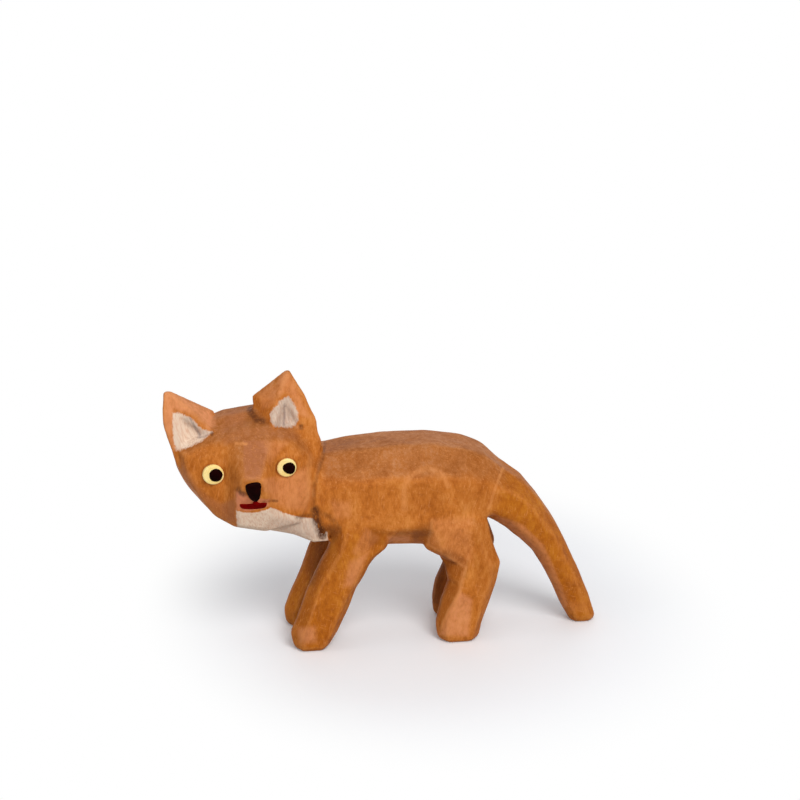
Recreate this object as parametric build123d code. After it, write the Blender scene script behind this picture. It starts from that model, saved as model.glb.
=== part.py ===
from build123d import *
import os

# Carved wooden fox, standing, looking over its left shoulder. Millimetres.
# X runs along the body with the tail at the high end, Z is up, and the fox's left flank faces
# the low end of Y. X is measured from the neck face, Z from the ground, then the whole is centred.

# Torso, from the flat neck face to the slanted tail face
neck_face_lean = 2.4
torso_length = 48.3
torso_depth = 28.0
torso_width = 24.0

# Tail, from the same slanted face down to its resting tip
tail_reach = 25.2
tail_width = 18.4

# Legs, which carry the torso and stand a little proud of its flanks. The front feet are ahead
# of the neck face, the hind feet short of the tail face
leg_height = 32.5
leg_width = 8.6
leg_past_belly = 6.5
leg_proud = 0.1
front_leg_depth = 15.0
front_leg_lean = 14.0
front_left_foot_ahead = 2.6
front_right_foot_ahead = 2.7
hind_leg_depth = 18.0
hind_leg_lean = 3.7
hind_left_foot_inset = 12.5
hind_right_foot_inset = 11.2

# Head, measured from the neck face and from the lowest point of the throat
head_width = 36.0
head_height = 34.5
head_depth = 22.0
face_reach = 12.0
throat_above_belly = 2.3
neck_length = 14.0
neck_width = 19.0
neck_height = 25.2

# Muzzle, which stands forward of the face, in the middle of the head
muzzle_reach = 8.0
muzzle_width = 15.6
muzzle_above_throat = 5.7
muzzle_below_crown = 3.3

# Square tab that the throat ends in, under the chest, with a knife notch in its face
throat_tab_length = 4.2
throat_tab_width = 4.5
throat_tab_height = 4.6
throat_tab_rise = 1.3
throat_tab_overhang = 2.2
throat_notch_length = 1.9
throat_notch_height = 4.2
throat_notch_depth = 1.5
throat_notch_rim = 0.7

# Ears, set in from the two sides of the head, from its crown and from the face
left_ear_width = 16.5
left_ear_height = 21.6
left_ear_depth = 13.0
left_ear_inset = 7.5
left_ear_below_crown = 9.8
right_ear_width = 15.5
right_ear_height = 19.5
right_ear_depth = 10.0
right_ear_inset = 4.9
right_ear_below_crown = 11.6
ear_behind_face = 8.5
ear_hollow_depth = 1.4

# Eyes: turned pegs with flat round heads, each with a black button on it
eye_diameter = 5.0
eye_head_thickness = 2.0
eye_stand = 0.35
eye_edge_round = 0.15
eye_stem_diameter = 2.2
eye_stem_length = 4.0
eye_spacing = 18.5
eye_below_crown = 11.6
eye_rise = 0.8
pupil_diameter = 3.6
pupil_thickness = 0.4
pupil_edge_round = 0.25

# Nose plug and mouth strip, both let into the muzzle's sloping front
nose_width = 4.7
nose_height = 4.6
nose_depth = 2.4
nose_stand = 0.4
nose_crown = 0.5
mouth_width = 6.4
mouth_height = 2.0
mouth_depth = 1.6
mouth_recess = 0.3
mouth_slit_length = 2.2
mouth_slit_height = 0.5
mouth_slit_depth = 3.0

# Pins, and the room that glue takes round them
neck_dowel_diameter = 6.0
neck_dowel_length = 18.0
neck_dowel_above_belly = 17.0
tail_dowel_diameter = 5.0
tail_dowel_length = 14.0
leg_dowel_diameter = 3.0
leg_dowel_length = 17.0
ear_peg_diameter = 2.0
ear_peg_length = 9.0
pin_chamfer = 0.3
glue_clearance = 0.05
bore_end_clearance = 0.25
cut_overrun = 2.0

# Section of torso and tail: across, up, as shares of the half width and of the height there
body_ring_shares = (
    (-0.46, 1.00),
    (-1.00, 0.76),
    (-1.00, 0.24),
    (-0.45, 0.00),
    (0.45, 0.00),
    (1.00, 0.24),
    (1.00, 0.76),
    (0.46, 1.00),
)

# Torso stations: back line along and up, belly line along and up, then width
torso_station_shares = (
    (0.000, 0.920, 0.000, 0.107, 0.850),
    (0.155, 0.960, 0.155, 0.018, 0.967),
    (0.362, 0.985, 0.362, 0.000, 1.000),
    (0.610, 0.975, 0.590, -0.014, 1.000),
    (0.776, 0.914, 0.714, 0.018, 0.967),
    (0.900, 0.818, 0.828, 0.107, 0.883),
    (1.000, 0.671, 0.903, 0.207, 0.767),
)

# Tail stations past the joint: upper line along and up, lower line along and up, then width
tail_station_shares = (
    (0.220, 0.905, 0.044, 0.638, 0.89),
    (0.385, 0.785, 0.202, 0.572, 0.79),
    (0.550, 0.640, 0.341, 0.487, 0.69),
    (0.685, 0.490, 0.472, 0.358, 0.60),
    (0.825, 0.310, 0.575, 0.229, 0.52),
    (0.935, 0.153, 0.655, 0.114, 0.46),
    (0.995, 0.030, 0.715, 0.030, 0.43),
    (0.985, 0.000, 0.735, 0.000, 0.36),
)

# Section of a leg: along, across, as shares of its half depth and half width
leg_ring_shares = (
    (-1.00, -0.25),
    (-0.62, -1.00),
    (0.62, -1.00),
    (1.00, -0.35),
    (1.00, 0.35),
    (0.62, 1.00),
    (-0.62, 1.00),
    (-1.00, 0.25),
)

# Leg stations: up, lean, depth, width
front_leg_shares = (
    (0.00, 0.00, 0.50, 0.76),
    (0.03, 0.02, 0.60, 0.92),
    (0.15, 0.09, 0.78, 0.96),
    (0.33, 0.25, 0.84, 0.98),
    (0.51, 0.40, 0.83, 1.00),
    (0.69, 0.61, 0.87, 1.00),
    (0.84, 0.84, 0.95, 1.00),
    (1.00, 0.97, 1.00, 1.00),
    (1.13, 1.00, 0.80, 0.60),
)
hind_leg_shares = (
    (0.00, 0.00, 0.50, 0.76),
    (0.03, 0.02, 0.59, 0.92),
    (0.15, 0.10, 0.655, 0.96),
    (0.31, 0.44, 0.717, 0.98),
    (0.50, 1.00, 0.70, 1.00),
    (0.645, 0.97, 0.81, 1.00),
    (0.82, 0.14, 0.93, 1.00),
    (1.00, -0.40, 0.99, 1.00),
    (1.13, -0.50, 0.80, 0.60),
)

# Head outline, from the left temple down and round: shares of head width from the neck face
# and of head height from the throat
head_outline_shares = (
    (1.03, 0.845),
    (1.00, 0.645),
    (0.91, 0.465),
    (0.785, 0.30),
    (0.625, 0.21),
    (0.375, 0.145),
    (0.11, 0.145),
    (0.03, 0.40),
    (0.02, 0.775),
    (0.18, 0.935),
    (0.39, 1.05),
    (0.64, 1.02),
    (0.875, 0.93),
)
head_centre_shares = (0.52, 0.55)

# Head sections behind the outline: depth behind the face, size
head_station_shares = (
    (0.36, 1.00),
    (0.62, 0.98),
    (0.86, 0.82),
    (1.00, 0.58),
)

# Edge of the face, point for point as the outline, with how far forward each stands
face_edge_shares = (
    (0.96, 0.79, 0.80),
    (0.93, 0.62, 0.84),
    (0.84, 0.44, 0.86),
    (0.74, 0.30, 0.90),
    (0.62, 0.23, 1.00),
    (0.39, 0.18, 1.00),
    (0.15, 0.22, 0.92),
    (0.08, 0.43, 0.94),
    (0.09, 0.75, 0.90),
    (0.21, 0.88, 0.88),
    (0.35, 0.94, 0.88),
    (0.61, 0.94, 0.88),
    (0.83, 0.86, 0.82),
)

# Neck section: across, up; and neck stations: along from the neck face, width, foot, head
neck_ring_shares = (
    (-0.45, 1.00),
    (-1.00, 0.80),
    (-1.00, 0.10),
    (-0.90, 0.00),
    (0.60, 0.00),
    (1.00, 0.22),
    (1.00, 0.80),
    (0.45, 1.00),
)
neck_station_shares = (
    (0.00, 1.00, 0.02, 1.00),
    (0.45, 1.04, 0.14, 1.10),
    (1.00, 1.06, 0.21, 1.20),
)

# Muzzle root, point for point as the outline: across, up, and forward of the face
muzzle_root_shares = (
    (-0.365, 0.82, 0.04),
    (-0.37, 0.55, 0.08),
    (-0.42, 0.33, 0.10),
    (-0.385, 0.165, 0.08),
    (-0.26, 0.11, 0.15),
    (0.225, 0.04, 0.15),
    (0.51, 0.175, 0.10),
    (0.46, 0.49, 0.08),
    (0.415, 0.745, 0.05),
    (0.42, 0.92, 0.00),
    (0.40, 1.03, -0.10),
    (-0.25, 1.03, -0.10),
    (-0.35, 0.94, 0.00),
)

# Muzzle front, on one sloping plane that leans back from the nose to the chin
muzzle_front_shares = (
    (-0.16, 0.705),
    (-0.20, 0.645),
    (-0.235, 0.49),
    (-0.25, 0.315),
    (-0.225, 0.14),
    (0.185, 0.11),
    (0.29, 0.255),
    (0.27, 0.43),
    (0.20, 0.63),
    (0.16, 0.68),
    (0.12, 0.705),
    (-0.06, 0.72),
    (-0.12, 0.716),
)
muzzle_foot_forward_share = 0.24
muzzle_front_slope_share = 1.07

# Ear stations: up, then four corners across and back, front pair first
left_ear_shares = (
    (0.00, (-0.28, -0.50), (0.50, -0.19), (0.40, 0.35), (-0.48, 0.12)),
    (0.42, (-0.26, -0.44), (0.41, -0.15), (0.30, 0.31), (-0.53, 0.08)),
    (0.70, (-0.17, -0.31), (0.28, -0.10), (0.18, 0.23), (-0.55, 0.04)),
    (1.00, (0.00, -0.08), (0.05, -0.04), (0.04, 0.04), (-0.03, 0.02)),
)
right_ear_shares = (
    (0.00, (-0.31, -0.35), (0.42, -0.55), (0.48, 0.25), (-0.26, 0.35)),
    (0.40, (-0.46, -0.35), (0.42, -0.50), (0.45, 0.30), (-0.36, 0.35)),
    (0.66, (-0.50, -0.30), (0.08, -0.32), (0.36, 0.20), (-0.42, 0.30)),
    (1.00, (-0.51, -0.12), (-0.38, -0.12), (-0.37, 0.03), (-0.47, 0.03)),
)

# Corners of the painted hollow in each ear's front: across, up, back
left_ear_hollow_shares = ((-0.05, 0.70, -0.25), (-0.22, 0.335, -0.415), (0.225, 0.305, -0.245))
right_ear_hollow_shares = ((-0.27, 0.755, -0.28), (-0.19, 0.225, -0.38), (0.27, 0.40, -0.48))
ear_hollow_floor_share = 0.4

# Where the ears meet the head, and how their pegs lean
ear_seam_share = 0.38
ear_pin_lean_shares = {"left_ear": 0.0, "right_ear": -0.30}

# Heights of the nose's top edge and of the mouth's middle on the muzzle
nose_top_share = 0.6549
mouth_middle_share = 0.40

# Nose outline: across from its middle, up from its top edge
nose_crown_share = 0.7
nose_outline_shares = (
    (-0.50, -0.20),
    (-0.44, -0.02),
    (0.40, 0.00),
    (0.50, -0.22),
    (0.42, -0.55),
    (0.12, -1.00),
    (-0.14, -1.00),
    (-0.42, -0.62),
)

# Places that follow from the sizes
belly_height = leg_height - leg_past_belly
leg_spread = torso_width - leg_width + 2 * leg_proud
throat_height = belly_height + throat_above_belly
crown_height = throat_height + head_height
muzzle_x = -head_width / 2
muzzle_foot_height = throat_height + muzzle_above_throat
muzzle_height = crown_height - muzzle_below_crown - muzzle_foot_height
ear_y = ear_behind_face - face_reach


def loft_rings(rings):
    wires = [Wire.make_polygon([Vector(*point) for point in ring]) for ring in rings]
    return Solid.make_loft(wires, ruled=True)


def body_ring(upper, lower, half_width):
    ring = []
    for across, up in body_ring_shares:
        x = lower[0] + up * (upper[0] - lower[0])
        z = lower[1] + up * (upper[1] - lower[1])
        ring.append((x, across * half_width, z))
    return ring


def neck_plane_x(z):
    return neck_face_lean * ((z - belly_height) / torso_depth - 1 / 2)


def torso_point(along, up):
    # the lean of the neck face fades out along the body
    z = belly_height + up * torso_depth
    return neck_plane_x(z) * (1 - along) + along * torso_length, z


def torso_station(shares):
    back_along, back_up, belly_along, belly_up, wide = shares
    upper = torso_point(back_along, back_up)
    lower = torso_point(belly_along, belly_up)
    return upper, lower, wide * torso_width / 2


def torso_blank():
    return loft_rings([body_ring(*torso_station(shares)) for shares in torso_station_shares])


def tail_blank():
    upper, lower, half_width = torso_station(torso_station_shares[-1])
    rings = [body_ring(upper, lower, half_width)]
    for out_along, out_up, in_along, in_up, wide in tail_station_shares:
        outer = (upper[0] + out_along * tail_reach, out_up * upper[1])
        inner = (upper[0] + in_along * tail_reach, in_up * upper[1])
        rings.append(body_ring(outer, inner, wide * tail_width / 2))
    return loft_rings(rings)


def leg_blank(foot_x, side, depth, lean, stations):
    rings = []
    for up, lean_share, depth_share, width_share in stations:
        middle_x = foot_x + lean_share * lean
        half_depth = depth_share * depth / 2
        half_width = width_share * leg_width / 2
        rings.append([
            (middle_x + along * half_depth, side * leg_spread / 2 + across * half_width, up * leg_height)
            for along, across in leg_ring_shares
        ])
    return loft_rings(rings)


def head_point(along, up):
    return -along * head_width, throat_height + up * head_height


def muzzle_point(across, up, forward):
    x = muzzle_x + across * muzzle_width
    z = muzzle_foot_height + up * muzzle_height
    return x, -face_reach - forward * muzzle_reach, z


def muzzle_front_y(z, out=0):
    up = (z - muzzle_foot_height) / muzzle_height
    forward = muzzle_foot_forward_share + up * muzzle_front_slope_share
    return -face_reach - forward * muzzle_reach - out


def head_core():
    front = []
    for across, up in muzzle_front_shares:
        x, y, z = muzzle_point(across, up, 0)
        front.append((x, muzzle_front_y(z), z))
    root = [muzzle_point(*shares) for shares in muzzle_root_shares]
    edge = []
    for along, up, forward in face_edge_shares:
        x, z = head_point(along, up)
        edge.append((x, -forward * face_reach, z))
    rings = [front, root, edge]
    centre_along, centre_up = head_centre_shares
    for depth_share, size in head_station_shares:
        ring = []
        for along, up in head_outline_shares:
            x, z = head_point(
                centre_along + size * (along - centre_along),
                centre_up + size * (up - centre_up),
            )
            ring.append((x, depth_share * head_depth - face_reach, z))
        rings.append(ring)
    return loft_rings(rings)


def neck():
    rings = []
    for along, wide, foot, top in neck_station_shares:
        ring = []
        for across, up in neck_ring_shares:
            z = throat_height + (foot + up * (top - foot)) * neck_height
            ring.append((neck_plane_x(z) - along * neck_length, across * wide * neck_width / 2, z))
        rings.append(ring)
    return loft_rings(rings)


def throat_tab():
    front_y = -neck_width / 2
    foot_z = throat_height + throat_tab_rise
    corner = (throat_tab_overhang, front_y, foot_z)
    tab = Pos(*corner) * Box(
        throat_tab_length, throat_tab_width, throat_tab_height, align=(Align.MAX, Align.MIN, Align.MIN)
    )
    notch_corner = (corner[0] - throat_notch_rim, front_y - cut_overrun, foot_z + throat_notch_rim)
    notch = Pos(*notch_corner) * Box(
        throat_notch_length,
        throat_notch_depth + cut_overrun,
        throat_notch_height,
        align=(Align.MAX, Align.MIN, Align.MIN),
    )
    return tab, notch


def front_ring(outline, out):
    return [(x, muzzle_front_y(z, out), z) for x, z in outline]


def nose_outline(grow=0, size=1):
    middle_z = muzzle_foot_height + nose_top_share * muzzle_height - nose_height / 2
    return [
        (
            muzzle_x + across * (size * nose_width + 2 * grow),
            middle_z + (up + 1 / 2) * (size * nose_height + 2 * grow),
        )
        for across, up in nose_outline_shares
    ]


def nose_plug():
    return loft_rings([
        front_ring(nose_outline(size=nose_crown_share), nose_stand + nose_crown),
        front_ring(nose_outline(), nose_stand),
        front_ring(nose_outline(), -nose_depth),
    ])


def nose_pocket():
    return loft_rings([
        front_ring(nose_outline(glue_clearance), cut_overrun),
        front_ring(nose_outline(glue_clearance), -nose_depth),
    ])


def strip_outline(low_x, high_x, low_z, high_z, grow=0):
    return [
        (low_x - grow, high_z + grow),
        (low_x - grow, low_z - grow),
        (high_x + grow, low_z - grow),
        (high_x + grow, high_z + grow),
    ]


def mouth_span():
    low_x = muzzle_x - mouth_width / 2
    low_z = muzzle_foot_height + mouth_middle_share * muzzle_height - mouth_height / 2
    return low_x, low_x + mouth_width, low_z, low_z + mouth_height


def mouth_strip():
    outline = strip_outline(*mouth_span())
    return loft_rings([front_ring(outline, -mouth_recess), front_ring(outline, -mouth_depth)])


def mouth_pocket():
    outline = strip_outline(*mouth_span(), glue_clearance)
    return loft_rings([front_ring(outline, cut_overrun), front_ring(outline, -mouth_depth)])


def mouth_slit():
    low_x, high_x, low_z, high_z = mouth_span()
    outline = strip_outline(high_x, high_x + mouth_slit_length, high_z - mouth_slit_height, high_z)
    return loft_rings([front_ring(outline, cut_overrun), front_ring(outline, -mouth_slit_depth)])


def facing_cylinder(x, back_y, z, diameter, length):
    # a cylinder whose axis points out of the face, with its back end at back_y
    plane = Plane(origin=(x, back_y, z), x_dir=(1, 0, 0), z_dir=(0, -1, 0))
    return plane * Cylinder(diameter / 2, length, align=(Align.CENTER, Align.CENTER, Align.MIN))


def front_edge(piece):
    return piece.edges().filter_by(GeomType.CIRCLE).sort_by(Axis.Y)[0]


def eye_place(side):
    x = muzzle_x + side * eye_spacing / 2
    z = crown_height - eye_below_crown + side * eye_rise / 2
    front_y = -face_reach - eye_stand
    return x, front_y, z


def eye(side):
    x, front_y, z = eye_place(side)
    back_y = front_y + eye_head_thickness
    disc = facing_cylinder(x, back_y, z, eye_diameter, eye_head_thickness)
    disc = fillet(front_edge(disc), eye_edge_round)
    return disc + facing_cylinder(x, back_y + eye_stem_length, z, eye_stem_diameter, eye_stem_length)


def eye_socket(side):
    x, front_y, z = eye_place(side)
    back_y = front_y + eye_head_thickness
    wide = facing_cylinder(
        x, back_y, z, eye_diameter + 2 * glue_clearance, eye_head_thickness + cut_overrun
    )
    deep = facing_cylinder(
        x,
        back_y + eye_stem_length + bore_end_clearance,
        z,
        eye_stem_diameter + 2 * glue_clearance,
        eye_stem_length + bore_end_clearance,
    )
    return wide + deep


def pupil(side):
    x, front_y, z = eye_place(side)
    # both buttons sit against the same side of their yellow discs, so the fox looks that way
    x += eye_diameter / 2 - pupil_diameter / 2
    x -= eye_edge_round
    button = facing_cylinder(x, front_y, z, pupil_diameter, pupil_thickness)
    return fillet(front_edge(button), pupil_edge_round)


def pin(centre, direction, diameter, length):
    body = Plane(origin=centre, z_dir=direction) * Cylinder(diameter / 2, length)
    return chamfer(body.edges().filter_by(GeomType.CIRCLE), pin_chamfer)


def pin_bore(centre, direction, diameter, length):
    return Plane(origin=centre, z_dir=direction) * Cylinder(
        diameter / 2 + glue_clearance, length + 2 * bore_end_clearance
    )


def leg_pin_line(foot_x, side, lean, stations):
    # through the joint, along the line from the knee to the leg's top
    low_up, low_lean = stations[-4][:2]
    mid_up, mid_lean = stations[-3][:2]
    top_up, top_lean = stations[-2][:2]
    centre = (
        foot_x + (mid_lean + top_lean) / 2 * lean,
        side * leg_spread / 2,
        (mid_up + top_up) / 2 * leg_height,
    )
    return centre, ((top_lean - low_lean) * lean, 0, (top_up - low_up) * leg_height)


def tail_pin_line():
    upper, lower, _ = torso_station(torso_station_shares[-1])
    centre = ((upper[0] + lower[0]) / 2, 0, (upper[1] + lower[1]) / 2)
    return centre, (upper[1] - lower[1], 0, lower[0] - upper[0])


def ear_blank(x, foot_height, width, height, depth, stations):
    rings = []
    for up, *corners in stations:
        z = foot_height + up * height
        rings.append([(x + across * width, ear_y + back * depth, z) for across, back in corners])
    return loft_rings(rings)


def ear_hollow(x, foot_height, width, height, depth, corners):
    points = [Vector(x + across * width, ear_y + back * depth, foot_height + up * height)
              for across, up, back in corners]
    middle = sum(points, Vector(0, 0, 0)) / len(points)

    def ring(back):
        # the walls slope in from the rim to a smaller floor
        size = 1 - back / ear_hollow_depth * (1 - ear_hollow_floor_share)
        return [tuple(middle + (point - middle) * size + Vector(0, back, 0)) for point in points]

    return loft_rings([ring(-cut_overrun), ring(ear_hollow_depth)])


def ear_pin_line(x, foot_height, height, lean_share, width):
    centre = (x, ear_y, foot_height + ear_seam_share * height)
    return centre, (lean_share * width, 0, height)


torso = torso_blank()
tail = tail_blank()
tab, notch = throat_tab()
head = head_core() + neck() + (tab - torso) - notch
pieces = {"torso": torso, "tail": tail}

ears = {
    "left_ear": (
        -left_ear_inset,
        crown_height - left_ear_below_crown,
        left_ear_width,
        left_ear_height,
        left_ear_depth,
    ),
    "right_ear": (
        right_ear_inset - head_width,
        crown_height - right_ear_below_crown,
        right_ear_width,
        right_ear_height,
        right_ear_depth,
    ),
}
ear_tables = {
    "left_ear": (left_ear_shares, left_ear_hollow_shares),
    "right_ear": (right_ear_shares, right_ear_hollow_shares),
}
for name, sizes in ears.items():
    stations, corners = ear_tables[name]
    pieces[name] = ear_blank(*sizes, stations) - head - torso - ear_hollow(*sizes, corners)

front = (front_leg_depth, front_leg_lean, front_leg_shares)
hind = (hind_leg_depth, hind_leg_lean, hind_leg_shares)
legs = {
    "front_left_leg": (-front_left_foot_ahead, -1, *front),
    "front_right_leg": (-front_right_foot_ahead, 1, *front),
    "hind_left_leg": (torso_length - hind_left_foot_inset, -1, *hind),
    "hind_right_leg": (torso_length - hind_right_foot_inset, 1, *hind),
}
for name, spec in legs.items():
    pieces[name] = leg_blank(*spec) - torso - tail - head

for side_name, side in {"left": 1, "right": -1}.items():
    head -= eye_socket(side)
    pieces[f"{side_name}_eye"] = eye(side)
    pieces[f"{side_name}_pupil"] = pupil(side)
head = head - nose_pocket() - mouth_pocket() - mouth_slit()
pieces["nose"] = nose_plug()
pieces["mouth"] = mouth_strip()
pieces["head"] = head

neck_dowel_height = belly_height + neck_dowel_above_belly
neck_centre = (neck_plane_x(neck_dowel_height), 0, neck_dowel_height)
pins = {
    "neck_dowel": (neck_centre, (1, 0, 0), neck_dowel_diameter, neck_dowel_length, "torso", "head"),
    "tail_dowel": (*tail_pin_line(), tail_dowel_diameter, tail_dowel_length, "torso", "tail"),
}
for name, (foot_x, side, _, lean, stations) in legs.items():
    line = leg_pin_line(foot_x, side, lean, stations)
    pins[f"{name}_dowel"] = (*line, leg_dowel_diameter, leg_dowel_length, "torso", name)
for name, (x, foot_height, width, height, _) in ears.items():
    line = ear_pin_line(x, foot_height, height, ear_pin_lean_shares[name], width)
    pins[f"{name}_peg"] = (*line, ear_peg_diameter, ear_peg_length, "head", name)
for name, (centre, direction, diameter, length, first, second) in pins.items():
    bore = pin_bore(centre, direction, diameter, length)
    pieces[first] -= bore
    pieces[second] -= bore
    pieces[name] = pin(centre, direction, diameter, length)

# The whole stands on the ground, centred over the origin
boxes = [piece.bounding_box() for piece in pieces.values()]
low_x, high_x = min(box.min.X for box in boxes), max(box.max.X for box in boxes)
low_y, high_y = min(box.min.Y for box in boxes), max(box.max.Y for box in boxes)
centring = Pos(-(low_x + high_x) / 2, -(low_y + high_y) / 2, -min(box.min.Z for box in boxes))
print("centred by", tuple(round(value, 3) for value in centring.position))

os.makedirs("parts", exist_ok=True)
for name, piece in pieces.items():
    placed = centring * piece
    print(name, len(placed.solids()), round(placed.volume, 1), placed.is_valid)
    export_step(placed, f"parts/{name}.step")
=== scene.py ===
import math

import bmesh
import bpy
import numpy as np
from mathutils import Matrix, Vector
from mathutils.bvhtree import BVHTree


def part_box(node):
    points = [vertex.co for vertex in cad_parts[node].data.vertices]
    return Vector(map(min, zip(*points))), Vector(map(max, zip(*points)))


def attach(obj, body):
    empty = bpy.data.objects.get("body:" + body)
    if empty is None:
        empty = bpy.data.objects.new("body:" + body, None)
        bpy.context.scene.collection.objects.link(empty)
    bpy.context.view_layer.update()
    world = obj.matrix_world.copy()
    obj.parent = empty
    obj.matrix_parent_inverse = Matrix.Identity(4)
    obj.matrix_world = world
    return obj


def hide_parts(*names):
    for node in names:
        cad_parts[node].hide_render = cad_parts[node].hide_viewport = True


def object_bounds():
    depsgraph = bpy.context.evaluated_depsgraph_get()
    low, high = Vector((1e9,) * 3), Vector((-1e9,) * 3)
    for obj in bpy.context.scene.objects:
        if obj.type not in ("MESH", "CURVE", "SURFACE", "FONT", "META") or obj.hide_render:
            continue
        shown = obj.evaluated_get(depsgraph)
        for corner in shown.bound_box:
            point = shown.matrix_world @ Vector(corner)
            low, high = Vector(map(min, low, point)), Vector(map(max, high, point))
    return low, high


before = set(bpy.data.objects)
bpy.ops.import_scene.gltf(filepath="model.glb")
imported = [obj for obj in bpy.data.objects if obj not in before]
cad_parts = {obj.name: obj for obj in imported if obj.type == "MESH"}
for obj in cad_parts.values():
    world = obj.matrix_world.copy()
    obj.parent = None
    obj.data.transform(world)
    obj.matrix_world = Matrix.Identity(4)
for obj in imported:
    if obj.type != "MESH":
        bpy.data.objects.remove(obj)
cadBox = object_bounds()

mm = 0.001
rng = np.random.default_rng(412)
print("frame loaded,", len(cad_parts), "nodes")


class Sock:  # wraps one node socket, so that shader maths reads as plain Python
    def __init__(self, finish, socket):
        self.finish = finish
        self.socket = socket

    def maths(self, operation, left, right):
        return self.finish.node("ShaderNodeMath", {"operation": operation}, {0: left, 1: right})

    def __add__(self, other):
        return self.maths("ADD", self, other)

    def __radd__(self, other):
        return self.maths("ADD", other, self)

    def __sub__(self, other):
        return self.maths("SUBTRACT", self, other)

    def __rsub__(self, other):
        return self.maths("SUBTRACT", other, self)

    def __mul__(self, other):
        return self.maths("MULTIPLY", self, other)

    def __rmul__(self, other):
        return self.maths("MULTIPLY", other, self)


class Finish:  # one material or world, and its nodes
    def __init__(self, owner):
        owner.use_nodes = True
        self.owner = owner
        self.tree = owner.node_tree
        self.tree.nodes.clear()
        self.placed = None

    def node(self, kind, settings=None, inputs=None, output=0):
        made = self.tree.nodes.new(kind)
        for key, value in (settings or {}).items():
            if key == "stops":
                self.fillRamp(made.color_ramp, value)
            else:
                setattr(made, key, value)
        for key, value in (inputs or {}).items():
            if isinstance(value, Sock):
                self.tree.links.new(value.socket, made.inputs[key])
            else:
                made.inputs[key].default_value = value
        return Sock(self, made.outputs[output] if len(made.outputs) else None)

    def fillRamp(self, ramp, stops):
        while len(ramp.elements) < len(stops):
            ramp.elements.new(0.5)
        for element, (position, colour) in zip(ramp.elements, stops):
            element.position = position
            element.color = colour

    def place(self):
        # where the surface is, in mm
        if self.placed is None:
            self.placed = self.scaled(self.node("ShaderNodeTexCoord", output="Object"), (1 / mm,) * 3)
        return self.placed

    def scaled(self, vector, scale):
        return self.node("ShaderNodeVectorMath", {"operation": "MULTIPLY"}, {0: vector, 1: scale})

    def mixed(self, share, first, second, blend="MIX"):
        settings = {"data_type": "RGBA", "blend_type": blend}
        return self.node("ShaderNodeMix", settings, {0: share, 6: first, 7: second}, output=2)

    def between(self, value, low, high, newLow=0.0, newHigh=1.0):
        settings = {"interpolation_type": "SMOOTHSTEP"}
        inputs = {
            "Value": value,
            "From Min": low,
            "From Max": high,
            "To Min": newLow,
            "To Max": newHigh,
        }
        return self.node("ShaderNodeMapRange", settings, inputs)

    def noise(self, stretch, detail=3.0, roughness=0.55, distortion=0.0, turn=0.0):
        place = self.place()
        if turn:  # radians about the line across the fox
            turned = {"Vector": place, "Axis": (0, 1, 0), "Angle": turn}
            place = self.node("ShaderNodeVectorRotate", {"rotation_type": "AXIS_ANGLE"}, turned)
        inputs = {
            "Vector": self.scaled(place, stretch),
            "Scale": 1.0,
            "Detail": detail,
            "Roughness": roughness,
            "Distortion": distortion,
        }
        return self.node("ShaderNodeTexNoise", {}, inputs)

    def bump(self, height, strength, depth):
        inputs = {"Strength": strength, "Distance": depth * mm, "Height": height}
        return self.node("ShaderNodeBump", {}, inputs)

    def attribute(self, name):
        return self.node("ShaderNodeAttribute", {"attribute_name": name}, output="Fac")

    def principled(self, **values):
        named = {key.replace("_", " "): value for key, value in values.items()}
        return self.node("ShaderNodeBsdfPrincipled", {}, named)

    def surface(self, shader, kind="ShaderNodeOutputMaterial"):
        self.node(kind, {}, {"Surface": shader})
        return self.owner

    def coat(self, colour, roughness, normal, shine):
        named = {"Base_Color": colour, "Roughness": roughness, "Normal": normal}
        return self.surface(self.principled(**named, Specular_IOR_Level=shine))


def tint(red, green, blue):
    # 0 to 255 as seen, turned to the linear values that sockets take
    seen = [value / 255 for value in (red, green, blue)]
    linear = [((value + 0.055) / 1.055) ** 2.4 if value > 0.04 else value / 12.92 for value in seen]
    return tuple(linear) + (1.0,)


def towards(azimuth, elevation):
    # unit direction from the fox to a camera or lamp
    # azimuth 0 is straight in front of the shown flank
    a, e = math.radians(azimuth), math.radians(elevation)
    return np.array([math.sin(a) * math.cos(e), -math.cos(a) * math.cos(e), math.sin(e)])


def aimed(piece, place, back):
    bpy.context.scene.collection.objects.link(piece)
    piece.location = Vector(place) * mm
    piece.rotation_mode = "QUATERNION"
    piece.rotation_quaternion = Vector(-back).to_track_quat("-Z", "Y")


# The photograph's viewing angle. Lengths in mm, angles in degrees.
camera = {
    "azimuth": -8.6526,
    "elevation": 20.5,
    "distance": 850,
    "target": (4.674, 4.047, 63.573),
    "lens": 150.32,
    "sensor": 36,
    "clip": (10, 20000),
}


def makeCamera():
    back = towards(camera["azimuth"], camera["elevation"])
    eye = bpy.data.objects.new("photoView", bpy.data.cameras.new("photoView"))
    aimed(eye, camera["target"] + back * camera["distance"], back)
    eye.data.lens = camera["lens"]
    eye.data.sensor_width = camera["sensor"]
    eye.data.clip_start, eye.data.clip_end = (length * mm for length in camera["clip"])
    bpy.context.scene.camera = eye


makeCamera()
print("camera placed")


# the groove at the neck on its way down, on a sheet held square to the camera's direction, in mm
neckLine = [(-15.6, 49.1), (-16.1, 47.3), (-17.1, 44.2), (-17.6, 41.0), (-18.0, 37.8)]

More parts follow.
